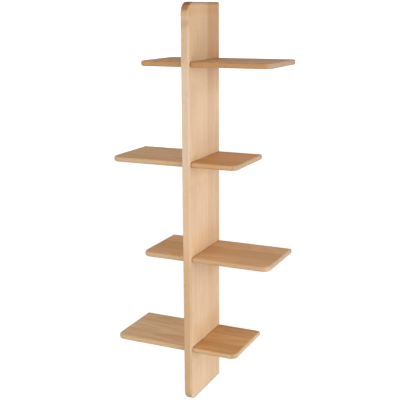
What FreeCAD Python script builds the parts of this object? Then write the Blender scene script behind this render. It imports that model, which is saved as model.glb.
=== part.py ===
import FreeCAD, Part
import math
import os
import Sketcher

# A wall shelf of solid wood: an upright board on edge against the wall and four short boards that
# cross it. Upright and boards are half-lapped into each other: the upright is slotted from the back,
# each board is notched from the front, and the board slides into the upright from behind.
#
# Frame: millimetres, X along the wall, +Y into the wall, +Z up. The wall is the plane Y = 0, and the
# origin lies midway between the entry holes of the two keyhole hangers in the upright's back edge.

SIZES = {
    # upright board, on edge
    "upright_height": 1200,
    "upright_depth": 215,
    "upright_thickness": 24,
    "upright_corner": 32,
    "upright_round": 4,
    # shelf boards, all alike: how far each end lies from the upright's middle
    "shelf_short": 154,
    "shelf_long": 254,
    "shelf_depth": 205,
    "shelf_thickness": 16,
    "shelf_corner": 24,
    "shelf_round": 6,
    # heights: the lowest board's underside above the upright's foot, and the top board's face below
    # the upright's top; the boards between them are evenly spaced
    "shelf_above_foot": 159,
    "shelf_below_top": 164,
    # half-lap: how deep the upright is slotted from behind, and the room left in the joint
    "lap_depth": 102,
    "lap_side_gap": 0.2,
    "lap_top_gap": 0.3,
    "lap_end_gap": 0.5,
    # keyhole hangers: how far their entry holes lie from the upright's top and foot
    "hanger_below_top": 80,
    "hanger_above_foot": 80,
    "hanger_width": 16,
    "hanger_sheet": 1.5,
    "hanger_hole_pitch": 30,
    "hanger_entry_rise": 12,
    "hanger_gap": 0.2,
    "keyhole_entry_radius": 4.75,
    "keyhole_slot_width": 4.6,
    "keyhole_travel": 9,
    "head_room_side": 0.6,
    "head_room_depth": 10,
    # screws through the hangers into the upright, and the room round the shank and past its end
    "screw_radius": 1.5,
    "screw_head": 2.8,
    "screw_length": 16,
    "screw_sink": 0.1,
    "screw_gap": 0.1,
    "screw_end_gap": 1,
    # how far cutting shapes reach past the wood
    "overrun": 5,
}

# the boards from the foot up, and whether each lies turned over, long side to the left
SHELVES = [("bottom", True), ("lower", False), ("upper", True), ("top", False)]
TOLERANCE = 1e-4

# heights above the origin and steps between pieces, as expressions on the sheet
HANGER_STEP = "(sizes.upright_height - sizes.hanger_below_top - sizes.hanger_above_foot)"
UPRIGHT_TOP = f"(sizes.hanger_below_top + {HANGER_STEP} / 2)"
UPRIGHT_FOOT = f"({UPRIGHT_TOP} - sizes.upright_height)"
SHELF_ROOM = "(sizes.upright_height - sizes.shelf_above_foot - sizes.shelf_below_top)"
SHELF_STEP = f"(({SHELF_ROOM} - sizes.shelf_thickness) / {len(SHELVES) - 1})"
LOWEST_FLOOR = f"({UPRIGHT_FOOT} + sizes.shelf_above_foot)"
LOWEST_MIDDLE = f"({LOWEST_FLOOR} + sizes.shelf_thickness / 2)"
UPPER_HANGER = f"({HANGER_STEP} / 2)"
LOWER_HANGER = f"(-{HANGER_STEP} / 2)"

doc = FreeCAD.newDocument("wall_shelf")
sheet = doc.addObject("Spreadsheet::Sheet", "sizes")
for row, (alias, number) in enumerate(SIZES.items(), start=1):
    sheet.set(f"A{row}", alias)
    sheet.set(f"B{row}", str(number))
    sheet.setAlias(f"B{row}", alias)
doc.recompute()


def new_body(label):
    """A sub-part of its own, named as its file."""
    body = doc.addObject("PartDesign::Body", label)
    body.Label = label
    return body


def origin_feature(body, role):
    """One of the body's own origin planes or axes."""
    return next(item for item in body.Origin.OriginFeatures if item.Role == role)


def new_sketch(body, name, role, **shift):
    """A sketch on one of the body's origin planes, shifted by expressions along its own x, y or z."""
    sketch = body.newObject("Sketcher::SketchObject", name)
    sketch.AttachmentSupport = [(origin_feature(body, role), "")]
    sketch.MapMode = "FlatFace"
    for axis, expression in shift.items():
        sketch.setExpression(f"AttachmentOffset.Base.{axis}", expression)
    doc.recompute()
    return sketch


def point(x, y):
    return FreeCAD.Vector(x, y, 0)


def value(expression):
    """The number that an expression on the sheet gives."""
    return float(sheet.evalExpression(expression.replace("sizes.", "")))


def tie(sketch, kind, *places, expression):
    """A dimension between two places of a sketch, bound to an expression."""
    index = sketch.addConstraint(Sketcher.Constraint(kind, *places, value(expression)))
    sketch.setExpression(f"Constraints[{index}]", expression)


def fix_point(sketch, line, end, x, y):
    """Holds one end of a line at x, y from the sketch's origin; None puts it on that axis."""
    if x is None:
        sketch.addConstraint(Sketcher.Constraint("PointOnObject", line, end, -2))
    else:
        tie(sketch, "DistanceX", -1, 1, line, end, expression=x)
    if y is None:
        sketch.addConstraint(Sketcher.Constraint("PointOnObject", line, end, -1))
    else:
        tie(sketch, "DistanceY", -1, 1, line, end, expression=y)


def draw_polygon(sketch, corners):
    """A closed outline of straight lines through corners given as pairs of expressions."""
    spots = [point(value(x or "0"), value(y or "0")) for x, y in corners]
    count = len(corners)
    for index in range(count):
        sketch.addGeometry(Part.LineSegment(spots[index], spots[(index + 1) % count]), False)
    for index, (x, y) in enumerate(corners):
        sketch.addConstraint(Sketcher.Constraint("Coincident", (index - 1) % count, 2, index, 1))
        fix_point(sketch, index, 1, x, y)


def draw_board(sketch, before, after, depth, corner):
    """A board seen square on: back edge along the sketch's x axis, two rounded corners in front."""
    left, right, front, radius = -value(before), value(after), -value(depth), value(corner)
    quarter = math.pi / 2
    along = FreeCAD.Vector(0, 0, 1)
    left_circle = Part.Circle(point(left + radius, front + radius), along, radius)
    right_circle = Part.Circle(point(right - radius, front + radius), along, radius)
    sketch.addGeometry(
        [
            Part.LineSegment(point(left, 0), point(left, front + radius)),
            Part.ArcOfCircle(left_circle, 2 * quarter, 3 * quarter),
            Part.LineSegment(point(left + radius, front), point(right - radius, front)),
            Part.ArcOfCircle(right_circle, 3 * quarter, 4 * quarter),
            Part.LineSegment(point(right, front + radius), point(right, 0)),
            Part.LineSegment(point(right, 0), point(left, 0)),
        ],
        False,
    )
    near, arc_left, face, arc_right, far, back = range(6)
    sketch.addConstraint(
        [
            Sketcher.Constraint("Tangent", near, 2, arc_left, 1),
            Sketcher.Constraint("Tangent", arc_left, 2, face, 1),
            Sketcher.Constraint("Tangent", face, 2, arc_right, 1),
            Sketcher.Constraint("Tangent", arc_right, 2, far, 1),
            Sketcher.Constraint("Coincident", far, 2, back, 1),
            Sketcher.Constraint("Coincident", back, 2, near, 1),
            Sketcher.Constraint("Vertical", near),
            Sketcher.Constraint("Vertical", far),
            Sketcher.Constraint("Horizontal", face),
            Sketcher.Constraint("PointOnObject", back, 1, -1),
            Sketcher.Constraint("PointOnObject", back, 2, -1),
            Sketcher.Constraint("Equal", arc_left, arc_right),
        ]
    )
    tie(sketch, "Radius", arc_left, expression=corner)
    tie(sketch, "DistanceX", back, 2, -1, 1, expression=before)
    tie(sketch, "DistanceX", -1, 1, back, 1, expression=after)
    tie(sketch, "DistanceY", face, 1, -1, 1, expression=depth)


def draw_oblong(sketch, low, high, radius):
    """An upright oblong with round ends, centred on the sketch's y axis between two heights."""
    bottom, top, reach = value(low or "0"), value(high), value(radius)
    along = FreeCAD.Vector(0, 0, 1)
    sketch.addGeometry(
        [
            Part.ArcOfCircle(Part.Circle(point(0, bottom), along, reach), math.pi, 2 * math.pi),
            Part.LineSegment(point(reach, bottom), point(reach, top)),
            Part.ArcOfCircle(Part.Circle(point(0, top), along, reach), 0, math.pi),
            Part.LineSegment(point(-reach, top), point(-reach, bottom)),
        ],
        False,
    )
    lower, right, upper, left = range(4)
    sketch.addConstraint(
        [
            Sketcher.Constraint("Tangent", lower, 2, right, 1),
            Sketcher.Constraint("Tangent", right, 2, upper, 1),
            Sketcher.Constraint("Tangent", upper, 2, left, 1),
            Sketcher.Constraint("Tangent", left, 2, lower, 1),
            Sketcher.Constraint("Vertical", right),
        ]
    )
    tie(sketch, "Radius", lower, expression=radius)
    fix_point(sketch, lower, 3, None, low)
    fix_point(sketch, upper, 3, None, high)


def draw_circle(sketch, radius):
    """A circle about the sketch's origin."""
    along = FreeCAD.Vector(0, 0, 1)
    sketch.addGeometry(Part.Circle(point(0, 0), along, value(radius)), False)
    sketch.addConstraint(Sketcher.Constraint("Coincident", 0, 3, -1, 1))
    tie(sketch, "Radius", 0, expression=radius)


def pad(body, sketch, length, side="Symmetric", backwards=False):
    """Thickness for an outline, both ways from its sketch or to one side."""
    feature = body.newObject("PartDesign::Pad", sketch.Name + "_pad")
    feature.Profile = sketch
    feature.SideType = side
    feature.Reversed = backwards
    feature.setExpression("Length", length)
    doc.recompute()
    return feature


def cut_is_real(body, before):
    """Stops the build where a cut took no wood or metal away."""
    if body.Shape.Volume > before - TOLERANCE:
        raise RuntimeError(f"{body.Label}: {body.Tip.Name} cuts nothing")


def pocket(body, sketch, depth, side="One side", backwards=False):
    """A cut with an outline, both ways from its sketch or to one side."""
    before = body.Shape.Volume
    feature = body.newObject("PartDesign::Pocket", sketch.Name + "_pocket")
    feature.Profile = sketch
    feature.SideType = side
    feature.Reversed = backwards
    feature.setExpression("Length", depth)
    doc.recompute()
    cut_is_real(body, before)
    return feature


def round_over(body, radius, chosen):
    """A router's round-over along every edge of a board that chosen accepts."""
    base = body.Tip
    edges = [f"Edge{n}" for n, edge in enumerate(base.Shape.Edges, start=1) if chosen(edge)]
    feature = body.newObject("PartDesign::Fillet", f"{body.Name}_round_over")
    feature.Base = (base, edges)
    feature.setExpression("Radius", radius)
    doc.recompute()


def repeat(body, name, originals, step, count, backwards=False):
    """Copies of features up the body, or down it, a step apart."""
    feature = body.newObject("PartDesign::LinearPattern", name)
    feature.Originals = originals
    feature.Direction = (origin_feature(body, "Z_Axis"), [""])
    feature.Reversed = backwards
    feature.Occurrences = count
    feature.setExpression("Length", f"{step} * {count - 1}")
    body.Tip = feature
    doc.recompute()
    return feature


def spans(edge, axis):
    """The lowest and highest place of an edge along an axis, 0 to 2."""
    box = edge.BoundBox
    return ((box.XMin, box.XMax), (box.YMin, box.YMax), (box.ZMin, box.ZMax))[axis]


def lies_at(edge, axis, place):
    """Whether a whole edge lies in one plane square to an axis."""
    low, high = spans(edge, axis)
    return abs(low - place) < TOLERANCE and abs(high - place) < TOLERANCE


def on_faces(edge, axis, half):
    """Whether an edge bounds one of a board's two faces and is not its back edge."""
    at_face = lies_at(edge, axis, half) or lies_at(edge, axis, -half)
    return at_face and not lies_at(edge, 1, 0)


def screw_hole(body, name, height):
    """A hole for a countersunk screw driven from the wall side: its own shape with room round it."""
    sketch = new_sketch(body, name, "XY_Plane", y="-sizes.screw_sink", z=height)
    mouth = "sizes.screw_head + sizes.screw_gap + sizes.overrun"
    bore = "sizes.screw_radius + sizes.screw_gap"
    end = "-(sizes.screw_length + sizes.screw_end_gap)"
    draw_polygon(
        sketch,
        [
            (None, "sizes.overrun"),
            (mouth, "sizes.overrun"),
            (bore, "sizes.screw_radius - sizes.screw_head"),
            (bore, end),
            (None, end),
        ],
    )
    before = body.Shape.Volume
    feature = body.newObject("PartDesign::Groove", name + "_groove")
    feature.Profile = sketch
    feature.ReferenceAxis = (sketch, ["V_Axis"])
    feature.Angle = 360
    doc.recompute()
    cut_is_real(body, before)
    return feature


def make_upright():
    """The board on edge, slotted from behind for the shelves and recessed for the hangers."""
    body = new_body("upright")
    outline = new_sketch(body, "upright_outline", "YZ_Plane")
    outline.AttachmentOffset = FreeCAD.Placement(
        FreeCAD.Vector(), FreeCAD.Rotation(FreeCAD.Vector(0, 0, 1), -90)
    )
    draw_board(outline, UPRIGHT_TOP, f"-{UPRIGHT_FOOT}", "sizes.upright_depth", "sizes.upright_corner")
    pad(body, outline, "sizes.upright_thickness")
    half = value("sizes.upright_thickness / 2")
    round_over(body, "sizes.upright_round", lambda edge: on_faces(edge, 0, half))

    slot = new_sketch(body, "shelf_slot", "YZ_Plane", y=LOWEST_FLOOR)
    slot_height = "sizes.shelf_thickness + sizes.lap_top_gap"
    draw_polygon(
        slot,
        [
            ("-sizes.lap_depth", None),
            ("sizes.overrun", None),
            ("sizes.overrun", slot_height),
            ("-sizes.lap_depth", slot_height),
        ],
    )
    slot_cut = pocket(body, slot, "sizes.upright_thickness + 2 * sizes.overrun", "Symmetric")
    repeat(body, "shelf_slots", [slot_cut], SHELF_STEP, len(SHELVES))

    recess = new_sketch(body, "hanger_recess", "XZ_Plane", y=UPPER_HANGER)
    draw_oblong(
        recess,
        "-sizes.hanger_entry_rise",
        "sizes.hanger_hole_pitch - sizes.hanger_entry_rise",
        "sizes.hanger_width / 2 + sizes.hanger_gap",
    )
    recess_cut = pocket(body, recess, "sizes.hanger_sheet", backwards=True)
    head_room = new_sketch(body, "hanger_head_room", "XZ_Plane", y=UPPER_HANGER)
    draw_oblong(head_room, None, "sizes.keyhole_travel", "sizes.keyhole_entry_radius + sizes.head_room_side")
    room_cut = pocket(body, head_room, "sizes.head_room_depth", backwards=True)
    lower_screw = f"{UPPER_HANGER} - sizes.hanger_entry_rise"
    upper_screw = f"{lower_screw} + sizes.hanger_hole_pitch"
    holes = [
        screw_hole(body, "hanger_lower_screw_hole", lower_screw),
        screw_hole(body, "hanger_upper_screw_hole", upper_screw),
    ]
    cuts = [recess_cut, room_cut, *holes]
    repeat(body, "hanger_recesses", cuts, HANGER_STEP, 2, backwards=True)
    return body


def make_shelf(name, turned_over, middle):
    """A shelf board: notched from the front to straddle the upright, its neck in the upright's slot."""
    body = new_body(f"shelf_{name}")
    outline = new_sketch(body, f"shelf_{name}_outline", "XY_Plane")
    draw_board(outline, "sizes.shelf_short", "sizes.shelf_long", "sizes.shelf_depth", "sizes.shelf_corner")
    pad(body, outline, "sizes.shelf_thickness")
    half = value("sizes.shelf_thickness / 2")
    round_over(body, "sizes.shelf_round", lambda edge: on_faces(edge, 2, half))

    notch = new_sketch(body, f"shelf_{name}_notch", "XY_Plane")
    side = "sizes.upright_thickness / 2 + sizes.lap_side_gap"
    front = "-(sizes.shelf_depth + sizes.overrun)"
    end = "-(sizes.lap_depth - sizes.lap_end_gap)"
    draw_polygon(notch, [(f"-({side})", front), (side, front), (side, end), (f"-({side})", end)])
    pocket(body, notch, "sizes.shelf_thickness + 2 * sizes.overrun", "Symmetric")

    if turned_over:
        body.Placement.Rotation = FreeCAD.Rotation(FreeCAD.Vector(0, 1, 0), 180)
    body.setExpression("Placement.Base.z", middle)
    return body


def make_hanger(name, height):
    """A keyhole plate of sheet steel with round ends, one countersunk screw hole in each end."""
    body = new_body(f"hanger_{name}")
    outline = new_sketch(body, f"hanger_{name}_outline", "XZ_Plane")
    upper_hole = "sizes.hanger_hole_pitch - sizes.hanger_entry_rise"
    draw_oblong(outline, "-sizes.hanger_entry_rise", upper_hole, "sizes.hanger_width / 2")
    pad(body, outline, "sizes.hanger_sheet", "One side")
    entry = new_sketch(body, f"hanger_{name}_entry", "XZ_Plane")
    draw_circle(entry, "sizes.keyhole_entry_radius")
    pocket(body, entry, "sizes.hanger_sheet + sizes.overrun", backwards=True)
    slot = new_sketch(body, f"hanger_{name}_slot", "XZ_Plane")
    draw_oblong(slot, None, "sizes.keyhole_travel", "sizes.keyhole_slot_width / 2")
    pocket(body, slot, "sizes.hanger_sheet + sizes.overrun", backwards=True)
    for end, rise in (("lower", "-sizes.hanger_entry_rise"), ("upper", upper_hole)):
        screw_hole(body, f"hanger_{name}_{end}_hole", rise)
    body.setExpression("Placement.Base.z", height)
    return body


def make_hanger_screws():
    """Two countersunk screws to each hanger, their heads sunk just below the wall plane."""
    body = new_body("hanger_screws")
    profile = new_sketch(body, "screw_profile", "XY_Plane")
    draw_polygon(
        profile,
        [
            (None, None),
            ("sizes.screw_head", None),
            ("sizes.screw_radius", "sizes.screw_radius - sizes.screw_head"),
            ("sizes.screw_radius", "-sizes.screw_length"),
            (None, "-sizes.screw_length"),
        ],
    )
    turned = body.newObject("PartDesign::Revolution", "screw_turned")
    turned.Profile = profile
    turned.ReferenceAxis = (profile, ["V_Axis"])
    turned.Angle = 360
    doc.recompute()

    pairs = repeat(body, "screw_pairs", [turned], "sizes.hanger_hole_pitch", 2)
    pairs.Direction2 = pairs.Direction
    pairs.Occurrences2 = 2
    pairs.setExpression("Length2", HANGER_STEP)
    body.setExpression("Placement.Base.y", "-sizes.screw_sink")
    body.setExpression("Placement.Base.z", f"{LOWER_HANGER} - sizes.hanger_entry_rise")
    return body


# each sub-part with the number of solids it holds; the four hanger screws are one group
parts = [(make_upright(), 1)]
for level, (name, turned_over) in enumerate(SHELVES):
    middle = f"{LOWEST_MIDDLE} + {level} * {SHELF_STEP}"
    parts.append((make_shelf(name, turned_over, middle), 1))
parts.append((make_hanger("top", UPPER_HANGER), 1))
parts.append((make_hanger("bottom", LOWER_HANGER), 1))
parts.append((make_hanger_screws(), 4))
doc.recompute()

for item in doc.Objects:
    if "Invalid" in item.State or "Error" in item.State:
        raise RuntimeError(f"{item.Name} failed: {item.State}")
for body, solids in parts:
    shape = body.Shape
    if shape.isNull() or not shape.isValid() or len(shape.Solids) != solids:
        raise RuntimeError(f"{body.Label} is not {solids} sound solids")

os.makedirs("parts", exist_ok=True)
for body, _ in parts:
    body.Shape.exportStep(f"parts/{body.Label}.step")
    box = body.Shape.optimalBoundingBox()
    print(f"{body.Label}: {box.XLength:.1f} x {box.YLength:.1f} x {box.ZLength:.1f} mm, "
          f"z {box.ZMin:.1f} to {box.ZMax:.1f}, {body.Shape.Volume / 1000:.2f} cm3")
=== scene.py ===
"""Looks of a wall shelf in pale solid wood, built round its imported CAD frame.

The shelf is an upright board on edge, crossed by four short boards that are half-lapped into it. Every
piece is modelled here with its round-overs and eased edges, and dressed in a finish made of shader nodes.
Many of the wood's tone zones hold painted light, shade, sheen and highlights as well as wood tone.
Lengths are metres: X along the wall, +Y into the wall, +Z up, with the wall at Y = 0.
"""
import logging
import math
from collections.abc import Callable, Sequence
from dataclasses import dataclass
from enum import Enum

import bmesh
import bpy
from mathutils import Matrix, Vector


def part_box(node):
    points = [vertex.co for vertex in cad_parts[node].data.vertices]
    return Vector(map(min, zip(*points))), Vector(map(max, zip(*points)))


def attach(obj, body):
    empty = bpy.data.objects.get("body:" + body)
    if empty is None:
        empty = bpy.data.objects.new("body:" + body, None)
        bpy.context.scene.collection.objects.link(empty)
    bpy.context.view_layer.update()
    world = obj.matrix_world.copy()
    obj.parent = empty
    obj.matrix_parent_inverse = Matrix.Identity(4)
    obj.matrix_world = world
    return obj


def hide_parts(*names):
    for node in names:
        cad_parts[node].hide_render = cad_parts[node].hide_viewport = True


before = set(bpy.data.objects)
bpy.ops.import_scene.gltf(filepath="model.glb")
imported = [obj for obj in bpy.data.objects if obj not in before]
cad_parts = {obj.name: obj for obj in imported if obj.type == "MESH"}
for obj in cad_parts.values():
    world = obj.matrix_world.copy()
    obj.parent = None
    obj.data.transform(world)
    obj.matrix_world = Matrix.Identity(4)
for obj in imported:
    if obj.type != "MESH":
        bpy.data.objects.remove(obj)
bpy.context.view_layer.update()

LOG = logging.getLogger("wall_shelf")
MM = 0.001
BODY = "root"

Colour = tuple[float, float, float]
Flat = tuple[float, float]
Triple = tuple[float, float, float]
Rim = tuple[float, float, bool]
Placing = Callable[[float, float, float], Vector]
Socket = bpy.types.NodeSocket
Number = Socket | float


class GrainRun(Enum):
    """Which way a board's grain runs: the axes along, across and through the board."""

    UP = ("Z", "Y", "X")
    SIDEWAYS = ("X", "Y", "Z")


class ShelfSide(Enum):
    """A shelf from end to end, or only left or right of the upright: metres along it, past its ends."""

    BOTH = (-0.3, 0.3)
    LEFT = (-0.3, 0.0)
    RIGHT = (0.0, 0.3)


class Wiring:
    """Adds nodes to one node tree and links them."""

    def __init__(self, tree: bpy.types.NodeTree) -> None:
        """Keeps the tree that the nodes go into."""
        self.tree = tree

    def node(self, kind: str, **settings: object) -> bpy.types.Node:
        """Adds a node.

        Args:
            kind: the node's type name.
            settings: properties of the node, by name.

        Returns:
            The new node.
        """
        node = self.tree.nodes.new(kind)
        for name, setting in settings.items():
            setattr(node, name, setting)
        return node

    def feed(self, socket: Socket, source: Number | Colour) -> None:
        """Links a source to an input socket, or sets the socket where the source is a plain value.

        Args:
            socket: the input socket.
            source: an output socket, a number or a colour.
        """
        if isinstance(source, bpy.types.NodeSocket):
            self.tree.links.new(source, socket)
        elif socket.type == "RGBA":
            socket.default_value = (*source, 1.0)
        else:
            socket.default_value = source

    def fill(self, node: bpy.types.Node, **sources: Number | Colour) -> bpy.types.Node:
        """Feeds inputs of a node by name.

        Args:
            node: the node.
            sources: what its inputs get, by name, with _ for a space.

        Returns:
            The node.
        """
        for name, source in sources.items():
            self.feed(node.inputs[name.replace("_", " ")], source)
        return node

    def result(self, node: bpy.types.Node, *terms: Number) -> Socket:
        """Feeds the inputs of a node in order.

        Args:
            node: the node.
            terms: what its first inputs get.

        Returns:
            The node's first output.
        """
        for socket, term in zip(node.inputs, terms):
            self.feed(socket, term)
        return node.outputs[0]

    def math(self, operation: str, *terms: Number) -> Socket:
        """The result of a Math node's operation on one to three numbers."""
        return self.result(self.node("ShaderNodeMath", operation=operation), *terms)

    def times(self, first: Number, second: Number) -> Socket:
        """Two numbers multiplied."""
        return self.math("MULTIPLY", first, second)

    def sway(self, base: Number, noise: Socket, width: Number) -> Socket:
        """A number that a noise of 0 to 1 moves both ways, by half of a width at most."""
        return self.math("MULTIPLY_ADD", self.math("SUBTRACT", noise, 0.5), width, base)

    def rise(self, value: Socket, start: float, end: float) -> Socket:
        """A smooth step of a value, from 0 at the start to 1 at the end."""
        node = self.node("ShaderNodeMapRange", interpolation_type="SMOOTHSTEP")
        return self.result(node, value, start, end, 0.0, 1.0)

    def blend(self, amount: Number, first: Socket | Colour, second: Socket | Colour,
              way: str = "MIX") -> Socket:
        """A blend of two colours.

        Args:
            amount: how much of the second colour, held to 0 to 1.
            first: the colour at 0.
            second: the colour at 1.
            way: Blender's name for the way of blending.

        Returns:
            The blended colour.
        """
        node = self.node("ShaderNodeMix", data_type="RGBA", blend_type=way)
        self.feed(node.inputs[0], amount)
        self.feed(node.inputs[6], first)
        self.feed(node.inputs[7], second)
        return node.outputs[2]

    def noise(self, place: Socket, detail: float = 2.0, roughness: float = 0.5) -> Socket:
        """Smooth noise.

        Args:
            place: where it is read, in its own lengths.
            detail: how many finer layers it has.
            roughness: how strong these are.

        Returns:
            The noise, 0 to 1.
        """
        node = self.node("ShaderNodeTexNoise", noise_dimensions="3D")
        return self.fill(node, Vector=place, Scale=1.0, Detail=detail, Roughness=roughness).outputs[0]

    def stretched(self, place: Sequence[Socket], lumps: Triple, detail: float = 2.0,
                  roughness: float = 0.5) -> Socket:
        """Noise with a scale of its own along each of three ways, such as along and across the grain.

        Args:
            place: metres along the three ways.
            lumps: how many lumps there are to a metre along each.
            detail: how many finer layers it has.
            roughness: how strong these are.

        Returns:
            The noise, 0 to 1.
        """
        scaled = [self.times(way, count) for way, count in zip(place, lumps)]
        return self.noise(self.join(*scaled), detail, roughness)

    def speckle(self, lumps: Socket, detail: float, roughness: float) -> Socket:
        """Even noise all over a piece.

        Args:
            lumps: how many lumps there are to a metre.
            detail: how many finer layers it has.
            roughness: how strong these are.

        Returns:
            The noise, 0 to 1.
        """
        scaled = self.node("ShaderNodeVectorMath", operation="SCALE")
        self.fill(scaled, Vector=self.node("ShaderNodeTexCoord").outputs["Object"], Scale=lumps)
        return self.noise(scaled.outputs[0], detail, roughness)

    def join(self, *terms: Number) -> Socket:
        """Makes a vector of three numbers."""
        return self.result(self.node("ShaderNodeCombineXYZ"), *terms)

    def split(self, vector: Socket) -> dict[str, Socket]:
        """Takes a vector apart.

        Args:
            vector: the vector.

        Returns:
            Its three numbers, by the names X, Y and Z.
        """
        node = self.node("ShaderNodeSeparateXYZ")
        self.feed(node.inputs[0], vector)
        return {socket.name: socket for socket in node.outputs}

    def place(self, group: bpy.types.NodeTree, **inputs: Number | Colour) -> bpy.types.Node:
        """Places a node group and feeds its inputs by name."""
        return self.fill(self.node("ShaderNodeGroup", node_tree=group), **inputs)

    def relief(self, shader: bpy.types.Node, height: Socket, strength: float, depth: float) -> None:
        """Gives a shader's surface a fine relief.

        Args:
            shader: the shader.
            height: the relief's shape.
            strength: how much of it shows.
            depth: how deep it is, in metres.
        """
        bump = self.fill(self.node("ShaderNodeBump"), Strength=strength, Distance=depth, Height=height)
        self.fill(shader, Normal=bump.outputs["Normal"])


class EffectGroup:
    """A shader node group with named inputs and outputs, built once."""

    def __init__(self, name: str, inputs: dict[str, str], outputs: dict[str, str]) -> None:
        """Makes the empty group.

        Args:
            name: the group's name.
            inputs: kind of each input socket, Float or Color, by name.
            outputs: the same for the outputs.
        """
        self.tree = bpy.data.node_groups.new(name, "ShaderNodeTree")
        self.wires = Wiring(self.tree)
        for direction, sockets in (("INPUT", inputs), ("OUTPUT", outputs)):
            for socket, kind in sockets.items():
                self.tree.interface.new_socket(socket, in_out=direction, socket_type=f"NodeSocket{kind}")
        self.given = self.wires.node("NodeGroupInput").outputs
        self.result = self.wires.node("NodeGroupOutput")

    def give(self, **outputs: Socket) -> bpy.types.NodeTree:
        """Links what the group puts out, by name, and returns the finished group."""
        self.wires.fill(self.result, **outputs)
        return self.tree


def plank_group() -> bpy.types.NodeTree:
    """Solid wood glued up from staves: growth rings, streaks, fibres, short flecks and glue lines.

    Returns:
        The group. Along, Across and Through are metres in the board, Cut is how far a surface faces along
        the grain, 0 to 1, and Height is for a bump.
    """
    lengths = ("Along", "Across", "Through", "Cut", "Stave Width", "Ring Pitch", "Seed")
    group = EffectGroup(
        "sawn_plank",
        {**dict.fromkeys(lengths, "Float"), **dict.fromkeys(("Pale", "Deep", "End", "Fleck"), "Color")},
        {"Color": "Color", "Roughness": "Float", "Height": "Float"},
    )
    wires, given = group.wires, group.given
    width, seed = given["Stave Width"], given["Seed"]

    # staves side by side, each with its own tone and its own piece of the log
    step = wires.math("DIVIDE", given["Across"], width)
    stave = wires.math("FLOOR", step)
    inside = wires.math("SUBTRACT", wires.math("FRACT", step), 0.5)
    tone = wires.math("SINE", wires.math("MULTIPLY_ADD", stave, 2.4, seed))
    to_seam = wires.math("SUBTRACT", 0.5, wires.math("ABSOLUTE", inside))
    seam = wires.rise(wires.times(to_seam, width), 0.7 * MM, 0.1 * MM)

    # the log's heart lies behind the stave and wanders along it, which draws the arched figure
    along = wires.math("ADD", given["Along"], wires.math("MULTIPLY_ADD", stave, 1.7, seed))
    drift = wires.noise(wires.join(wires.times(along, 1.6), stave, seed), 1.0)
    sink = wires.noise(wires.join(wires.times(along, 1.1), seed, stave), 1.0)
    across = wires.times(wires.math("MULTIPLY_ADD", tone, 0.35, inside), width)
    across = wires.sway(across, drift, 50 * MM)
    behind = wires.math("ADD", given["Through"], wires.math("MULTIPLY_ADD", tone, 12 * MM, 45 * MM))
    behind = wires.sway(behind, sink, 50 * MM)
    in_log = (along, across, behind)
    radius = wires.math("SQRT", wires.math("MULTIPLY_ADD", across, across, wires.times(behind, behind)))
    waver = wires.stretched(in_log, (5.0, 30.0, 30.0))
    radius = wires.math("MULTIPLY_ADD", waver, 4 * MM, radius)
    part = wires.math("FRACT", wires.math("DIVIDE", radius, given["Ring Pitch"]))
    ring = wires.times(wires.rise(part, 0.1, 0.85), wires.rise(part, 1.0, 0.88))

    # long streaks, broad clouds, fine fibres and the short dark flecks of the rays
    streak = wires.stretched(in_log, (1.3, 60.0, 60.0), 3.0, 0.6)
    cloud = wires.stretched(in_log, (4.0, 16.0, 16.0))
    fibre = wires.stretched(in_log, (45.0, 1400.0, 1400.0), 2.0, 0.6)
    fleck = wires.rise(wires.stretched(in_log, (260.0, 1500.0, 1500.0), 0.0), 0.66, 0.74)
    sawn_across = wires.rise(given["Cut"], 0.07, 1.0)

    # colour: from pale to deep with tone, streaks and rings, and another where the fibres are cut across
    depth = wires.math("MULTIPLY_ADD", tone, 0.17, 0.5)
    for figure, strength in ((streak, 0.75), (cloud, 0.7), (ring, 0.3), (fibre, 0.3)):
        depth = wires.sway(depth, figure, strength)
    colour = wires.blend(depth, given["Pale"], given["Deep"])
    colour = wires.blend(wires.times(sawn_across, 0.85), colour, given["End"])
    marks = wires.math("MAXIMUM", wires.times(fleck, 0.4), wires.times(seam, 0.25))
    colour = wires.blend(marks, colour, given["Fleck"])
    rough = wires.math("MULTIPLY_ADD", fibre, 0.12, wires.math("MULTIPLY_ADD", sawn_across, 0.1, 0.66))
    height = wires.math("SUBTRACT", wires.math("MULTIPLY_ADD", ring, 0.3, fibre),
                        wires.math("MAXIMUM", fleck, seam))
    return group.give(Color=colour, Roughness=rough, Height=height)


def worn_edge_group() -> bpy.types.NodeTree:
    """Rubbed edges: a mask along the round-overs, broken up by noise.

    Returns:
        The group. Facing is how far a surface faces out of the piece's broad side, 0 to 1, and Grit is how
        fine the noise is, in lumps to a metre.
    """
    group = EffectGroup("worn_edge", {"Facing": "Float", "Grit": "Float"}, {"Wear": "Float"})
    wires, given = group.wires, group.given
    square = wires.times(given["Facing"], given["Facing"])
    turn = wires.times(wires.times(square, wires.math("SUBTRACT", 1.0, square)), 4.0)
    broken = wires.rise(wires.speckle(given["Grit"], 3.0, 0.6), 0.35, 0.65)
    return group.give(Wear=wires.times(turn, broken))


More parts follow.
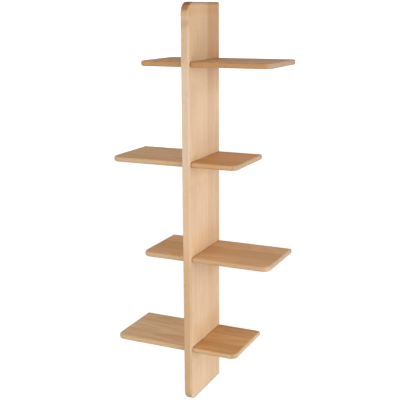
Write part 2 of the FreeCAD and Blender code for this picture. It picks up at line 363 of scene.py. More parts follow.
def tone_zone_group() -> bpy.types.NodeTree:
    """Wood with a tone of its own and soft borders: a tone such as heartwood's, or painted light and shade.

    Returns:
        The group. Along and Across are metres in the board, as are the stretch's borders and how soft they
        are, and inside it the colour is multiplied by Tint.
    """
    lengths = ("Along", "Across", "Start", "End", "Near", "Far", "Soft Along", "Soft Across")
    group = EffectGroup("tone_zone", {"Color": "Color", "Tint": "Color", **dict.fromkeys(lengths, "Float")},
                        {"Color": "Color"})
    wires, given = group.wires, group.given
    mask: Number = 1.0
    for way, other, low, high, lumps in (("Along", "Across", "Start", "End", (40.0, 3.0)),
                                         ("Across", "Along", "Near", "Far", (120.0 / 14.0, 14.0))):
        soft = given[f"Soft {way}"]
        waver = wires.noise(wires.join(wires.times(given[other], lumps[0]),
                                       wires.times(given[way], lumps[1]), given[low]))
        swayed = wires.sway(given[way], waver, soft)
        for border, side in ((given[low], 1.0), (given[high], -1.0)):
            inside = wires.times(wires.math("SUBTRACT", swayed, border), side)
            step = wires.rise(wires.math("DIVIDE", inside, soft), -0.5, 0.5)
            mask = wires.times(step, mask)
    tinted = wires.blend(1.0, given["Color"], given["Tint"], "MULTIPLY")
    return group.give(Color=wires.blend(mask, given["Color"], tinted))


def handling_group() -> bpy.types.NodeTree:
    """Faint smears of handling and settled dust, as a mask.

    Returns:
        The group. Upward is how far a surface faces up, 0 to 1, and Spread is how many smears there are to
        a metre.
    """
    group = EffectGroup("handling", {"Upward": "Float", "Spread": "Float"}, {"Smear": "Float"})
    wires, given = group.wires, group.given
    cloud = wires.rise(wires.speckle(given["Spread"], 4.0, 0.62), 0.42, 0.72)
    settled = wires.math("MULTIPLY_ADD", wires.math("MAXIMUM", given["Upward"], 0.0), 0.6, 0.4)
    return group.give(Smear=wires.times(cloud, settled))


@dataclass(frozen=True)
class Effects:
    """The node groups that the finishes share."""

    plank: bpy.types.NodeTree
    worn_edge: bpy.types.NodeTree
    tone_zone: bpy.types.NodeTree
    handling: bpy.types.NodeTree


def start_material(name: str) -> tuple[bpy.types.Material, Wiring, bpy.types.Node]:
    """Starts a material.

    Args:
        name: its name.

    Returns:
        The material, the wiring of its nodes and its shader.
    """
    material = bpy.data.materials.new(name)
    material.use_nodes = True
    return material, Wiring(material.node_tree), material.node_tree.nodes["Principled BSDF"]


@dataclass(frozen=True)
class ToneZone:
    """A stretch of a board that is deeper or paler than the rest: metres along it and out from the wall."""

    along: Flat
    out: Flat
    tint: Colour
    soft_along: float = 40 * MM
    soft_out: float = 6 * MM


@dataclass(frozen=True)
class WoodFinish:
    """Oiled solid wood of one board.

    A surface counts as end grain where it faces along the grain by end_grain_from or more, 0 to 1, and
    low_end is how far that holds at the board's low end.
    """

    name: str
    run: GrainRun
    pale: Colour
    deep: Colour
    end: Colour
    rubbed: Colour
    stave_width: float
    seed: float
    zones: tuple[ToneZone, ...]
    fleck: Colour = (0.33, 0.17, 0.075)
    ring_pitch: float = 2.6 * MM
    end_grain_from: float = 0.85
    low_end: float = 1.0
    grit: float = 40.0
    smears: float = 9.0
    bump: float = 0.25
    bump_depth: float = 0.2 * MM

    def material(self, effects: Effects) -> bpy.types.Material:
        """Makes the finish.

        Args:
            effects: the shared node groups.

        Returns:
            A material that follows the board's own grain.
        """
        material, wires, shader = start_material(self.name)
        spots = wires.node("ShaderNodeTexCoord").outputs
        place, facing = wires.split(spots["Object"]), wires.split(spots["Normal"])
        along, across, through = self.run.value
        out = wires.times(place[across], -1.0)
        end_grain = wires.math("MAXIMUM", facing[along], wires.times(facing[along], -self.low_end))
        plank = wires.place(
            effects.plank,
            Along=place[along],
            Across=out,
            Through=place[through],
            Cut=wires.math("DIVIDE", end_grain, self.end_grain_from),
            Stave_Width=self.stave_width,
            Ring_Pitch=self.ring_pitch,
            Seed=self.seed,
            Pale=self.pale,
            Deep=self.deep,
            End=self.end,
            Fleck=self.fleck,
        ).outputs
        colour = plank["Color"]
        for zone in self.zones:
            colour = wires.place(
                effects.tone_zone,
                Color=colour,
                Tint=zone.tint,
                Along=place[along],
                Across=out,
                Start=zone.along[0],
                End=zone.along[1],
                Near=zone.out[0],
                Far=zone.out[1],
                Soft_Along=zone.soft_along,
                Soft_Across=zone.soft_out,
            ).outputs["Color"]
        broad = wires.math("ABSOLUTE", facing[through])
        wear = wires.place(effects.worn_edge, Facing=broad, Grit=self.grit).outputs["Wear"]
        smear = wires.place(effects.handling, Upward=facing["Z"], Spread=self.smears).outputs["Smear"]
        colour = wires.blend(wires.times(wear, 0.35), colour, self.rubbed)
        rough = wires.math("MULTIPLY_ADD", smear, 0.1, plank["Roughness"])
        rough = wires.math("MULTIPLY_ADD", wear, -0.08, rough)
        wires.fill(shader, Base_Color=colour, Roughness=rough, IOR=1.46, Specular_IOR_Level=0.2)
        wires.relief(shader, plank["Height"], self.bump, self.bump_depth)
        return material


@dataclass(frozen=True)
class ZincFinish:
    """Zinc on rolled or turned steel. Rolled is how many lines there are to a metre along X, Y and Z."""

    name: str
    bright: Colour
    dull: Colour
    rolled: Triple
    roughness: float
    grit: float = 600.0
    smears: float = 160.0
    bump: float = 0.15
    bump_depth: float = 0.05 * MM

    def material(self, effects: Effects) -> bpy.types.Material:
        """Makes the finish.

        Args:
            effects: the shared node groups.

        Returns:
            A metal material with rolling lines, cloudy zinc and rubbed edges.
        """
        material, wires, shader = start_material(self.name)
        spots = wires.node("ShaderNodeTexCoord").outputs
        place, facing = wires.split(spots["Object"]), wires.split(spots["Normal"])
        lines = wires.stretched([place[axis] for axis in "XYZ"], self.rolled, 3.0)
        smear = wires.place(effects.handling, Upward=facing["Z"], Spread=self.smears).outputs["Smear"]
        broad = wires.math("ABSOLUTE", facing["Y"])
        wear = wires.place(effects.worn_edge, Facing=broad, Grit=self.grit).outputs["Wear"]
        cloudy = wires.math("MULTIPLY_ADD", smear, 0.6, wires.times(lines, 0.5))
        zinc = wires.blend(wear, wires.blend(cloudy, self.bright, self.dull), self.bright)
        rough = wires.math("MULTIPLY_ADD", cloudy, 0.2, self.roughness)
        wires.fill(shader, Base_Color=zinc, Roughness=rough, Metallic=1.0)
        wires.relief(shader, lines, self.bump, self.bump_depth)
        return material


def arc(centre: Flat, radius: float, start: float, end: float, steps: int) -> list[Flat]:
    """Points on an arc, both ends included.

    Args:
        centre: its centre.
        radius: its radius.
        start: the first angle, in degrees.
        end: the last angle, in degrees.
        steps: how many parts it has.

    Returns:
        The points in order.
    """
    angles = [math.radians(start + (end - start) * n / steps) for n in range(steps + 1)]
    return [(centre[0] + radius * math.cos(a), centre[1] + radius * math.sin(a)) for a in angles]


def circle(height: float, radius: float, steps: int) -> list[Flat]:
    """The outline of a circle at a height on the y axis, its first point not repeated."""
    return arc((0.0, height), radius, 0, 360 - 360 / steps, steps - 1)


def oblong(low: float, high: float, radius: float, steps: int = 24) -> list[Flat]:
    """The outline of an upright oblong with round ends between two heights on the y axis."""
    return arc((0.0, low), radius, 180, 360, steps) + arc((0.0, high), radius, 0, 180, steps)


def link(name: str, data: bpy.types.ID) -> bpy.types.Object:
    """Makes an object and puts it in the scene.

    Args:
        name: its name.
        data: its mesh, curve, lamp or camera.

    Returns:
        The object.
    """
    piece = bpy.data.objects.new(name, data)
    bpy.context.scene.collection.objects.link(piece)
    return piece


def as_mesh(piece: bpy.types.Object) -> bpy.types.Mesh:
    """A new mesh of an object with its modifiers applied."""
    return bpy.data.meshes.new_from_object(piece.evaluated_get(bpy.context.evaluated_depsgraph_get()))


def prism(outline: Sequence[Flat], low: float, high: float, place: Placing,
          mesh: bmesh.types.BMesh | None = None) -> bmesh.types.BMesh:
    """A straight-sided solid on an outline.

    Args:
        outline: its corners in order.
        low: where its first end lies.
        high: where its other end lies.
        place: turns an outline point and a place between the ends into a point in space.
        mesh: a mesh that the solid is added to, if any.

    Returns:
        The mesh with the solid.
    """
    solid = mesh or bmesh.new()
    ends = [[solid.verts.new(place(u, v, end)) for u, v in outline] for end in (low, high)]
    faces = [solid.faces.new(ends[0]), solid.faces.new(list(reversed(ends[1])))]
    count = len(outline)
    for index in range(count):
        after = (index + 1) % count
        faces.append(solid.faces.new((ends[0][after], ends[0][index], ends[1][index], ends[1][after])))
    bmesh.ops.recalc_face_normals(solid, faces=faces)
    return solid


def round_off(solid: bmesh.types.BMesh, edges: list[bmesh.types.BMEdge], radius: float, steps: int) -> None:
    """Rounds some edges of a solid to a radius, in a number of steps."""
    bmesh.ops.bevel(solid, geom=edges, offset=radius, offset_type="OFFSET", segments=steps, profile=0.5,
                    affect="EDGES", clamp_overlap=False)


def to_mesh(name: str, solid: bmesh.types.BMesh) -> bpy.types.Mesh:
    """Turns a finished solid into a mesh.

    Args:
        name: the mesh's name.
        solid: the solid, which is freed.

    Returns:
        The mesh.
    """
    mesh = bpy.data.meshes.new(name)
    solid.to_mesh(mesh)
    solid.free()
    return mesh


def cut_away(mesh: bpy.types.Mesh, cutter: bmesh.types.BMesh) -> bpy.types.Mesh:
    """Cuts one solid out of another.

    Args:
        mesh: the solid that is cut.
        cutter: the solid that is taken away, which is freed.

    Returns:
        A new mesh of what is left.
    """
    body, tool = link("cut_body", mesh), link("cut_tool", to_mesh("cut_tool", cutter))
    cut = body.modifiers.new("cut", "BOOLEAN")
    cut.operation, cut.solver, cut.object = "DIFFERENCE", "EXACT", tool
    left = as_mesh(body)
    for temporary in (body, tool):
        old = temporary.data
        bpy.data.objects.remove(temporary)
        bpy.data.meshes.remove(old)
    return left


@dataclass(kw_only=True)
class Piece:
    """A piece in the place of one CAD node, with its finish and the record's slot for that.

    It is called after the node and its kind. Edges that turn by more than sharp_from degrees stay sharp.
    """

    node: str
    kind: str
    finish: WoodFinish | ZincFinish
    slot: str
    sharp_from: float = 32.0

    def mesh(self) -> bpy.types.Mesh:
        """The piece's finished mesh, in its place."""
        raise NotImplementedError

    def build(self, effects: Effects) -> None:
        """Builds the piece, dresses it and puts it in its node's place.

        Args:
            effects: the shared node groups.
        """
        piece = link(f"{self.node}_{self.kind}", self.mesh())
        piece.data.shade_smooth()
        piece.data.set_sharp_from_angle(angle=math.radians(self.sharp_from))
        piece.modifiers.new("flat_faces", "WEIGHTED_NORMAL").keep_sharp = True
        material = self.finish.material(effects)
        piece.data.materials.clear()
        piece.data.materials.append(material)
        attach(piece, BODY)
        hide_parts(self.node)
        LOG.info("%s: %d faces in %s", piece.name, len(piece.data.polygons), material.name)


@dataclass(frozen=True)
class HangerSizes:
    """Sizes of a keyhole hanger and its screws, from the entry hole's middle."""

    width: float = 16 * MM
    sheet: float = 1.5 * MM
    lower_hole: float = -12 * MM
    upper_hole: float = 18 * MM
    entry_radius: float = 4.75 * MM
    slot_half: float = 2.3 * MM
    travel: float = 9 * MM
    seat_gap: float = 0.2 * MM
    head_room_radius: float = 5.35 * MM
    head_room_depth: float = 10 * MM
    screw_radius: float = 1.5 * MM
    screw_head: float = 2.8 * MM
    screw_sink: float = 0.1 * MM
    screw_length: float = 16 * MM
    screw_gap: float = 0.1 * MM
    pilot_depth: float = 17.1 * MM


def on_wall(height: float) -> Placing:
    """Places an outline flat on the wall at a height, with its thickness along Y."""
    return lambda u, v, w: Vector((u, w, v + height))


@dataclass(kw_only=True)
class Board(Piece):
    """A flat board whose back edge lies on the wall, with two rounded corners in front.

    Its outline runs along the board and out from the wall. The front edge and both ends are rounded over.
    The cuts for the half-laps stay square, and the edges on the wall are only eased.
    """

    kind: str = "board"
    span: Flat
    thick: Flat
    depth: float
    corner: float
    round_over: float = 4 * MM
    ease: float = 0.6 * MM
    corner_steps: int = 24
    round_steps: int = 8
    ease_steps: int = 2

    def place(self, along: float, out: float, through: float) -> Vector:
        """Where a point of the board lies in space."""
        raise NotImplementedError

    def back_cuts(self) -> list[Rim]:
        """Outline points of the half-laps in the back edge, from the board's end to its start."""
        return []

    def front_cuts(self) -> list[Rim]:
        """Outline points of the half-laps in the front edge, from the board's start to its end."""
        return []

    def outline(self) -> list[Rim]:
        """The board seen square on, from the start of its back edge round the front.

        Returns:
            Points along the board and out from the wall, each with whether the edge after it is rounded.
        """
        (start, end), radius, middle = self.span, self.corner, self.depth - self.corner
        first = arc((start + radius, middle), radius, 180, 90, self.corner_steps)
        last = arc((end - radius, middle), radius, 90, 0, self.corner_steps)
        return [(start, 0.0, True), *((*point, True) for point in first), *self.front_cuts(),
                *((*point, True) for point in last), (end, 0.0, False), *self.back_cuts()]

    def solid(self) -> bmesh.types.BMesh:
        """The board with its round-overs and eased back edges.

        Returns:
            A closed solid.
        """
        outline = self.outline()
        solid = prism([(along, out) for along, out, _ in outline], *self.thick, self.place)
        solid.verts.ensure_lookup_table()
        count = len(outline)
        rim = []
        for index, (_, _, rounded) in enumerate(outline):
            for first in (index, index + count) if rounded else ():
                after = (index + 1) % count + first - index
                rim.append(solid.edges.get((solid.verts[first], solid.verts[after])))
        round_off(solid, rim, self.round_over, self.round_steps)
        on_back = [edge for edge in solid.edges if all(abs(vert.co.y) < 1e-6 for vert in edge.verts)]
        round_off(solid, on_back, self.ease, self.ease_steps)
        return solid

    def mesh(self) -> bpy.types.Mesh:
        """The board's finished mesh."""
        return to_mesh(self.node, self.solid())


@dataclass(kw_only=True)
class Upright(Board):
    """The board on edge, slotted from behind for the shelves and let in for the hangers."""

    slot: str = "upright_wood"
    slots: Sequence[Flat]
    lap: float = 102 * MM
    hangers: Sequence[float]
    hanger: HangerSizes

    def place(self, along: float, out: float, through: float) -> Vector:
        """Where a point of the board lies: it stands, with its thickness along X."""
        return Vector((through, -out, along))

    def back_cuts(self) -> list[Rim]:
        """The slots that the shelves slide into.

        Returns:
            Their outline points, from the top down.
        """
        cuts: list[Rim] = []
        for low, high in sorted(self.slots, reverse=True):
            cuts += [(high, 0.0, False), (high, self.lap, False), (low, self.lap, False), (low, 0.0, False)]
        return cuts

    def mesh(self) -> bpy.types.Mesh:
        """The upright with the seats of its hangers.

        Returns:
            Its mesh, with the seats, the room for the wall screws and the pilot holes cut in one by one.
        """
        sizes = self.hanger
        pilot = sizes.screw_radius + sizes.screw_gap
        cuts = [
            (oblong(sizes.lower_hole, sizes.upper_hole, sizes.width / 2 + sizes.seat_gap), sizes.sheet),
            (oblong(0.0, sizes.travel, sizes.head_room_radius), sizes.head_room_depth),
            (circle(sizes.lower_hole, pilot, 24), sizes.pilot_depth),
            (circle(sizes.upper_hole, pilot, 24), sizes.pilot_depth),
        ]
        mesh = super().mesh()
        for outline, depth in cuts:
            cutter = bmesh.new()
            for height in self.hangers:
                prism(outline, -depth, MM, on_wall(height), cutter)
            mesh = cut_away(mesh, cutter)
        mesh.name = self.node
        return mesh


@dataclass(kw_only=True)
class ShelfBoard(Board):
    """A shelf, notched from the front to straddle the upright."""

    slot: str = "shelf_wood"
    round_over: float = 6 * MM
    notch: Flat
    notch_end: float = 101.5 * MM

    def place(self, along: float, out: float, through: float) -> Vector:
        """Where a point of the board lies: it is level, with its thickness along Z."""
        return Vector((along, -out, through))

    def front_cuts(self) -> list[Rim]:
        """The notch, whose walls meet the upright's sides."""
        (left, right), front, end = self.notch, self.depth, self.notch_end
        return [(left, front, False), (left, end, False), (right, end, False), (right, front, True)]


@dataclass(kw_only=True)
class KeyholeHanger(Piece):
    """A plate of sheet steel with round ends, a keyhole and two screw holes."""

    kind: str = "plate"
    slot: str = "hanger_steel"
    height: float
    sizes: HangerSizes
    edge: float = 0.25 * MM
    edge_steps: int = 3

    def outlines(self) -> list[list[Flat]]:
        """The plate seen from behind.

        Returns:
            Its rim, the keyhole with its slot above the round entry, and the screw holes.
        """
        sizes = self.sizes
        rim = oblong(sizes.lower_hole, sizes.upper_hole, sizes.width / 2)
        lean = math.degrees(math.acos(sizes.slot_half / sizes.entry_radius))
        entry = arc((0.0, 0.0), sizes.entry_radius, 180 - lean, 360 + lean, 40)
        keyhole = entry + arc((0.0, sizes.travel), sizes.slot_half, 0, 180, 20)
        mouth = sizes.screw_head + 2 * sizes.screw_gap
        return [rim, keyhole, *(circle(hole, mouth, 32) for hole in (sizes.lower_hole, sizes.upper_hole))]

    def mesh(self) -> bpy.types.Mesh:
        """The plate in its place, with edges rounded as a press leaves them.

        Returns:
            Its mesh.
        """
        half = self.sizes.sheet / 2
        curve = bpy.data.curves.new(f"{self.node}_outline", "CURVE")
        curve.dimensions, curve.fill_mode = "2D", "BOTH"
        curve.bevel_depth, curve.bevel_resolution, curve.offset = self.edge, self.edge_steps, -self.edge
        curve.extrude = half - self.edge
        for outline in self.outlines():
            spline = curve.splines.new("POLY")
            spline.points.add(len(outline) - 1)
            for point, (u, v) in zip(spline.points, outline):
                point.co = (u, v, 0.0, 1.0)
            spline.use_cyclic_u = True
        drawn = link("drawn_plate", curve)
        mesh = as_mesh(drawn)
        bpy.data.objects.remove(drawn)
        bpy.data.curves.remove(curve)
        mesh.name = self.node
        mesh.transform(Matrix.Translation((0.0, -half, self.height))
                       @ Matrix.Rotation(math.radians(90), 4, "X"))
        return mesh


@dataclass(kw_only=True)
class HangerScrews(Piece):
    """The countersunk wood screws that hold the hangers, each with a cross recess in its head.

    Each is turned its own way, in degrees, as a driver leaves it.
    """

    kind: str = "set"
    slot: str = "screw_steel"
    heights: Sequence[float]
    sizes: HangerSizes
    rim_in: float = 0.15 * MM
    rim_down: float = 0.12 * MM
    drive_half: float = 0.36 * MM
    drive_reach: float = 1.6 * MM
    drive_depth: float = 0.8 * MM
    point: float = 4 * MM
    turns: Sequence[float] = (12.0, 57.0, 31.0, 78.0)
    steps: int = 32

    def cross(self) -> list[Flat]:
        """The cross recess.

        Returns:
            Its outline, arm by arm.
        """
        half, reach = self.drive_half, self.drive_reach
        points: list[Flat] = []
        arm = [(half, half), (half, reach), (-half, reach)]
        for _ in range(4):
            points += arm
            arm = [(-v, u) for u, v in arm]
        return points

    def one(self) -> bpy.types.Mesh:
        """One screw, turned from its profile.

        Returns:
            Its mesh, with the head at the origin and the point along -Y.
        """
        head, shank, length = self.sizes.screw_head, self.sizes.screw_radius, self.sizes.screw_length
        profile = [(0.0, 0.0), (head - self.rim_in, 0.0), (head, -self.rim_down), (shank, shank - head),
                   (shank, self.point - length), (0.0, -length)]
        solid = bmesh.new()
        line = [solid.verts.new((radius, depth, 0.0)) for radius, depth in profile]
        edges = [solid.edges.new(pair) for pair in zip(line, line[1:])]
        bmesh.ops.spin(solid, geom=line + edges, cent=(0, 0, 0), axis=(0, 1, 0), angle=2 * math.pi,
                       steps=self.steps)
        bmesh.ops.remove_doubles(solid, verts=solid.verts, dist=1e-7)
        bmesh.ops.recalc_face_normals(solid, faces=solid.faces)
        return cut_away(to_mesh("turned_screw", solid),
                        prism(self.cross(), -self.drive_depth, MM, on_wall(0.0)))

    def mesh(self) -> bpy.types.Mesh:
        """All the screws in their holes.

        Returns:
            One mesh of separate solids.
        """
        screw = self.one()
        group = bmesh.new()
        for height, turn in zip(self.heights, self.turns):
            copy = screw.copy()
            copy.transform(Matrix.Translation((0.0, -self.sizes.screw_sink, height))
                           @ Matrix.Rotation(math.radians(turn), 4, "Y"))
            group.from_mesh(copy)
            bpy.data.meshes.remove(copy)
        bpy.data.meshes.remove(screw)
        return to_mesh(self.node, group)


@dataclass(frozen=True)
class Softbox:
    """A rectangular studio lamp that looks at a point."""

    name: str
    place: Triple
    aim: Triple
    size: Flat
    power: float

    def build(self) -> None:
        """Hangs the lamp, which the camera doesn't see."""
        light = bpy.data.lights.new(self.name, "AREA")
        light.shape, light.size, light.size_y = "RECTANGLE", *self.size
        light.energy = self.power
        lamp = link(self.name, light)
        lamp.location = self.place
        lamp.rotation_euler = (Vector(self.aim) - lamp.location).to_track_quat("-Z", "Y").to_euler()
        lamp.visible_camera = False


@dataclass
class Studio:
    """A white studio: floor, all-round light, softboxes and the camera.

    The all-round light falls off between the two heights of overhead, given as the Z of a direction.
    """

    softboxes: Sequence[Softbox]
    white: Colour = (1.0, 1.0, 1.0)
    light_around: float = 1.36
    light_above: float = 0.28
    overhead: Flat = (0.3, 0.6)
    floor_height: float = -1.05
    floor_radius: float = 7.0
    floor_sides: int = 96
    floor_grey: Colour = (0.3, 0.3, 0.3)
    floor_roughness: float = 0.9
    floor_glow: float = 0.82
    camera_place: Triple = (0.9988, -2.2536, 0.5775)
    yaw: float = 25.063
    pitch: float = 13.355
    roll: float = -0.386
    focal_pixels: float = 801.33
    image_pixels: float = 400.0
    sensor: float = 36.0

    def seen(self, wires: Wiring) -> Socket:
        """How far a ray shows the background.

        Args:
            wires: the wiring of the material that asks.

        Returns:
            1 for a ray from the camera, in a reflection or through glass, and 0 for the rest.
        """
        rays = wires.node("ShaderNodeLightPath").outputs
        direct = wires.math("MAXIMUM", rays["Is Camera Ray"], rays["Is Glossy Ray"])
        return wires.math("MAXIMUM", direct, rays["Is Transmission Ray"])

    def build_world(self) -> None:
        """Soft light from all round, most of it level as from studio walls, in front of plain white."""
        world = bpy.data.worlds.new("white_studio")
        bpy.context.scene.world = world
        world.use_nodes = True
        wires = Wiring(world.node_tree)
        background = world.node_tree.nodes["Background"]
        way = wires.split(wires.node("ShaderNodeTexCoord").outputs["Generated"])
        fall = self.light_above - self.light_around
        light = wires.math("MULTIPLY_ADD", wires.rise(way["Z"], *self.overhead), fall, self.light_around)
        wires.fill(background, Color=self.white, Strength=wires.math("MAXIMUM", self.seen(wires), light))

    def build_floor(self) -> None:
        """A pale floor that shows white and still takes the object's shadow."""
        disc = bmesh.new()
        bmesh.ops.create_circle(disc, cap_ends=True, segments=self.floor_sides, radius=self.floor_radius)
        floor = link("studio_floor", to_mesh("studio_floor", disc))
        floor.location = (0.0, 0.0, self.floor_height)
        material, wires, shader = start_material("floor_white")
        glow = wires.times(self.seen(wires), self.floor_glow)
        wires.fill(shader, Base_Color=self.floor_grey, Roughness=self.floor_roughness,
                   Emission_Color=self.white, Emission_Strength=glow)
        floor.data.materials.append(material)

    def build_camera(self) -> None:
        """The camera where the photograph was taken from."""
        data = bpy.data.cameras.new("camera")
        data.sensor_width = self.sensor
        data.lens = self.focal_pixels / self.image_pixels * self.sensor
        camera = link("camera", data)
        turn = (Matrix.Rotation(math.radians(self.yaw), 4, "Z")
                @ Matrix.Rotation(math.radians(90.0 - self.pitch), 4, "X")
                @ Matrix.Rotation(math.radians(self.roll), 4, "Z"))
        camera.matrix_world = Matrix.Translation(self.camera_place) @ turn
        bpy.context.scene.camera = camera

    def build(self) -> None:
        """Sets up the whole studio."""
        self.build_world()
        self.build_floor()
        for softbox in self.softboxes:
            softbox.build()
        self.build_camera()
        LOG.info("studio: %d softboxes", len(self.softboxes))


@dataclass(frozen=True)
class ShelfLook:
    """How one shelf looks, and the upright where the two cross: wood tone with painted light and shade.

    The seed picks the shelf's planks. Flat and nose tint its flat faces and its rounded front by side, and
    right_end tints that end; these tints are partly wood tone and partly painted light, shade and sheen.
    On the upright, lap_tint lies round the shelf, between borders that lap_reach moves up from its underside
    and its top; it is painted light and warm bounce. The last two say whether the upright in front is
    painted paler under the shelf, as painted light, and how far above the underside a painted shade at the
    back ends, if there is one.
    """

    seed: float
    flat: dict[ShelfSide, Colour]
    nose: dict[ShelfSide, Colour]
    right_end: Colour
    lap_tint: Colour
    lap_reach: Flat = (0.0, 30 * MM)
    painted_light_below: bool = True
    painted_shade_behind: float | None = None


# the tints below are partly wood tone and partly painted light and shade: darker toward the top shelf, the
# flats left and right of the upright apart by painted shade and bounce, some noses and right ends paler and
# bluer with a painted sheen and highlight, and the upright round each shelf in painted light
SHELVES = {
    "shelf_top": ShelfLook(
        seed=0.6,
        flat={ShelfSide.BOTH: (0.905, 0.85, 0.81)},
        nose={ShelfSide.BOTH: (0.81, 0.70, 0.56)},
        right_end=(1.05, 0.97, 0.90),
        lap_tint=(1.08, 1.06, 0.99),
        painted_shade_behind=42 * MM,
    ),
    "shelf_upper": ShelfLook(
        seed=3.1,
        flat={ShelfSide.LEFT: (1.15, 1.20, 1.27), ShelfSide.RIGHT: (1.07, 0.925, 0.74)},
        nose={ShelfSide.LEFT: (1.05, 1.19, 1.45), ShelfSide.RIGHT: (1.06, 1.09, 1.16)},
        right_end=(0.98, 1.04, 1.17),
        lap_tint=(1.08, 1.07, 1.0),
    ),
    "shelf_lower": ShelfLook(
        seed=5.2,
        flat={ShelfSide.BOTH: (1.14, 1.11, 1.05)},
        nose={ShelfSide.LEFT: (0.99, 1.10, 1.30), ShelfSide.RIGHT: (0.955, 1.00, 1.08)},
        right_end=(0.88, 0.85, 0.86),
        lap_tint=(1.0, 0.94, 0.83),
        lap_reach=(-12 * MM, 60 * MM),
        painted_light_below=False,
        painted_shade_behind=8 * MM,
    ),
    "shelf_bottom": ShelfLook(
        seed=8.4,
        flat={ShelfSide.LEFT: (1.28, 1.40, 1.58), ShelfSide.RIGHT: (1.10, 1.02, 0.805)},
        nose={ShelfSide.LEFT: (1.08, 1.22, 1.43), ShelfSide.RIGHT: (1.14, 1.28, 1.51)},
        right_end=(1.18, 1.33, 1.65),
        lap_tint=(0.98, 0.93, 0.82),
        lap_reach=(24 * MM, 65 * MM),
    ),
}
HANGERS = {"hanger_top": 520 * MM, "hanger_bottom": -520 * MM}
UPRIGHT_CORNER, SHELF_CORNER = 32 * MM, 24 * MM
LAP_TOP_GAP, LAP_SIDE_GAP = 0.3 * MM, 0.2 * MM

# borders of tone zones: the first three pairs lie past the wood, so that the zone runs out over its edge
BACK, FRONT = -0.05, 0.25
FOOT, HEAD = -0.65, 0.65
LEFT, RIGHT = ShelfSide.BOTH.value
WHOLE_DEPTH = (BACK, FRONT)
FRONT_EDGE = (0.209, FRONT)
ABOVE_SHELVES = (0.43, HEAD)
SHELF_FLAT, SHELF_NOSE = (BACK, 0.2037), (0.2037, FRONT)
UPRIGHT_ZONES = (
    # sides: darker and browner above the top shelf, most in the back stave, partly deeper wood and partly
    # painted shade; a paler foot, which is painted light; and a cooler arris on the wall
    ToneZone(ABOVE_SHELVES, (BACK, 0.082), (0.855, 0.725, 0.615)),
    ToneZone(ABOVE_SHELVES, (0.082, 0.207), (0.915, 0.86, 0.79)),
    ToneZone((0.565, HEAD), (BACK, 0.2), (0.96, 0.92, 0.84), soft_along=20 * MM),
    ToneZone((FOOT, -0.44), (BACK, 0.207), (1.06, 1.07, 1.07)),
    ToneZone((FOOT, HEAD), (BACK, 0.012), (0.99, 1.05, 1.12), soft_out=8 * MM),
    # front edge: darker above the top shelf, partly deeper wood and partly painted shade, with a darker
    # band and a painted highlight on the arris; then a paler, bluer painted sheen at mid height that
    # fades toward the foot, where the edge is warmer
    ToneZone(ABOVE_SHELVES, FRONT_EDGE, (0.925, 0.895, 0.865)),
    ToneZone((0.532, 0.552), FRONT_EDGE, (0.86, 0.84, 0.80), soft_along=16 * MM),
    # painted highlight along the front arris
    ToneZone((0.43, 0.535), (0.2085, 0.2147), (1.09, 1.10, 1.10), soft_along=30 * MM, soft_out=MM),
    # painted sheen: paler and bluer at mid height
    ToneZone((0.12, 0.43), FRONT_EDGE, (1.05, 1.11, 1.20), soft_along=120 * MM),
    ToneZone((-0.14, 0.11), FRONT_EDGE, (1.05, 1.02, 0.98), soft_along=60 * MM),
    ToneZone((-0.70, -0.12), FRONT_EDGE, (0.955, 0.865, 0.725), soft_along=120 * MM),
    ToneZone((-0.70, -0.46), FRONT_EDGE, (0.97, 0.96, 0.91), soft_along=60 * MM),
    # ends: a greyed arris and a pale face at the head, a greyed foot, a deeper rounded corner at the head,
    # and a paler rounded corner at the foot, which is painted light on its downward face
    ToneZone((0.592, HEAD), WHOLE_DEPTH, (0.71, 0.79, 0.86), soft_along=5 * MM),
    ToneZone((0.5985, HEAD), WHOLE_DEPTH, (1.13, 1.33, 1.6), soft_along=1.5 * MM),
    ToneZone((0.563, 0.599), (0.197, FRONT), (0.93, 0.87, 0.76), soft_along=8 * MM, soft_out=4 * MM),
    ToneZone((FOOT, -0.592), WHOLE_DEPTH, (0.86, 0.90, 1.0), soft_along=8 * MM),
    ToneZone((FOOT, -0.58), (0.195, FRONT), (1.06, 1.07, 1.07), soft_along=8 * MM),
)
SHELF_ZONES = (
    # a greyed arris on the wall, a painted dark line of shade where the flat turns into the nose, and
    # painted contact shade at the joint with the upright
    ToneZone((LEFT, RIGHT), (BACK, 0.010), (0.80, 0.81, 0.85), soft_out=8 * MM),
    ToneZone((LEFT, RIGHT), (0.2, 0.2043), (0.90, 0.86, 0.80), soft_out=1.6 * MM),
    ToneZone((-0.0148, 0.0148), (0.005, FRONT), (0.74, 0.61, 0.46), soft_along=2.5 * MM, soft_out=3 * MM),
)
HANGER_ZINC = ZincFinish("hanger_zinc", bright=(0.66, 0.67, 0.69), dull=(0.46, 0.47, 0.49),
                         rolled=(900.0, 900.0, 60.0), roughness=0.3)
SCREW_ZINC = ZincFinish("screw_zinc", bright=(0.70, 0.64, 0.46), dull=(0.52, 0.45, 0.28),
                        rolled=(500.0, 500.0, 500.0), roughness=0.28)
SOFTBOXES = (
    Softbox("right_softbox", place=(2.5, -0.6, 0.3), aim=(0.0, -0.1, 0.0), size=(1.0, 1.3), power=16.0),
    Softbox("foot_softbox", place=(1.6, -0.9, -0.6), aim=(0.0, -0.1, -0.3), size=(0.9, 0.9), power=9.8),
    Softbox("left_softbox", place=(-1.2, -2.3, 0.6), aim=(0.0, -0.1, 0.0), size=(1.0, 0.8), power=16.5),
)


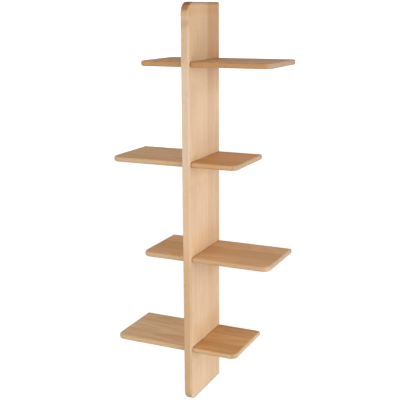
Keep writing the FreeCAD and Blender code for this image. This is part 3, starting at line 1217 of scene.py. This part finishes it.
def crossing_zones(node: str) -> list[ToneZone]:
    """Painted light and shade on the upright's sides where a shelf crosses it.

    Args:
        node: the shelf.

    Returns:
        The zones of painted light and bounce round the shelf, and of painted light in front
        and painted shade behind under it where it has these.
    """
    look = SHELVES[node]
    low, high = (corner.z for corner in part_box(node))
    # painted light and warm bounce on the upright round the shelf
    zones = [ToneZone((low + look.lap_reach[0], high + look.lap_reach[1]), (BACK, 0.2), look.lap_tint,
                      soft_along=30 * MM)]
    # painted light on the upright's front part under the shelf, against the shade there
    if look.painted_light_below:
        zones.append(ToneZone((low - 50 * MM, low - 8 * MM), (0.09, 0.207), (1.08, 1.09, 1.06),
                              soft_along=24 * MM))
    # painted shade on the upright's back stave under the shelf
    if look.painted_shade_behind is not None:
        zones.append(ToneZone((low - 75 * MM, low + look.painted_shade_behind), (BACK, 0.085), (0.97, 0.91, 0.85),
                              soft_along=36 * MM))
    return zones


def upright_wood() -> WoodFinish:
    """The upright's finish, with tones partly of painted light and shade, also where the shelves cross it.

    Returns:
        The finish.
    """
    return WoodFinish(
        name="upright_wood",
        run=GrainRun.UP,
        pale=(0.74, 0.55, 0.385),
        deep=(0.62, 0.42, 0.26),
        end=(0.42, 0.185, 0.07),
        rubbed=(0.79, 0.60, 0.43),
        stave_width=84.5 * MM,
        seed=math.pi / 2,
        zones=(*UPRIGHT_ZONES, *(zone for node in SHELVES for zone in crossing_zones(node))),
        end_grain_from=0.45,
        low_end=0.25,
    )


def shelf_wood(node: str) -> WoodFinish:
    """The finish of one shelf: the same wood for all, each cut from its own planks.

    Args:
        node: the shelf.

    Returns:
        The finish.
    """
    look = SHELVES[node]
    left, right = (corner.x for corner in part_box(node))
    # tints by side: partly wood tone and partly painted light and shade, with a painted sheen on bluer noses
    tones = [ToneZone(side.value, out, tint, soft_out=2.2 * MM)
             for out, tints in ((SHELF_FLAT, look.flat), (SHELF_NOSE, look.nose))
             for side, tint in tints.items()]
    # the right end's tint: partly wood tone and partly painted highlight
    right_end = ToneZone((right - 0.5 * MM, RIGHT), WHOLE_DEPTH, look.right_end, soft_along=3 * MM)
    left_end = ToneZone((left + 3.5 * MM, left + 11 * MM), (0.005, 0.2), (0.84, 0.95, 1.13),
                        soft_along=4 * MM)
    return WoodFinish(
        name=f"{node}_wood",
        run=GrainRun.SIDEWAYS,
        pale=(0.714, 0.449, 0.243),
        deep=(0.531, 0.287, 0.121),
        end=(0.485, 0.38, 0.303),
        rubbed=(0.62, 0.38, 0.19),
        stave_width=68.5 * MM,
        seed=look.seed,
        zones=(*tones, right_end, *SHELF_ZONES, left_end),
    )


def main() -> None:
    """Builds the shelf piece by piece, then the studio round it."""
    bpy.context.scene.view_settings.view_transform = "Standard"
    effects = Effects(plank_group(), worn_edge_group(), tone_zone_group(), handling_group())
    sizes = HangerSizes()

    low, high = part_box("upright")
    Upright(
        node="upright",
        span=(low.z, high.z),
        thick=(low.x, high.x),
        depth=-low.y,
        corner=UPRIGHT_CORNER,
        finish=upright_wood(),
        slots=[(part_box(node)[0].z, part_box(node)[1].z + LAP_TOP_GAP) for node in SHELVES],
        hangers=list(HANGERS.values()),
        hanger=sizes,
    ).build(effects)
    notch = (low.x - LAP_SIDE_GAP, high.x + LAP_SIDE_GAP)
    for node in SHELVES:
        low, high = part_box(node)
        ShelfBoard(
            node=node,
            span=(low.x, high.x),
            thick=(low.z, high.z),
            depth=-low.y,
            corner=SHELF_CORNER,
            finish=shelf_wood(node),
            notch=notch,
        ).build(effects)
    for node, entry in HANGERS.items():
        KeyholeHanger(node=node, finish=HANGER_ZINC, height=entry, sizes=sizes).build(effects)
    holes = [entry + hole for entry in HANGERS.values() for hole in (sizes.upper_hole, sizes.lower_hole)]
    HangerScrews(node="hanger_screws", finish=SCREW_ZINC, heights=holes, sizes=sizes).build(effects)
    Studio(SOFTBOXES).build()


if __name__ == "__main__":
    logging.basicConfig(level=logging.INFO, format="%(name)s %(message)s")
    main()
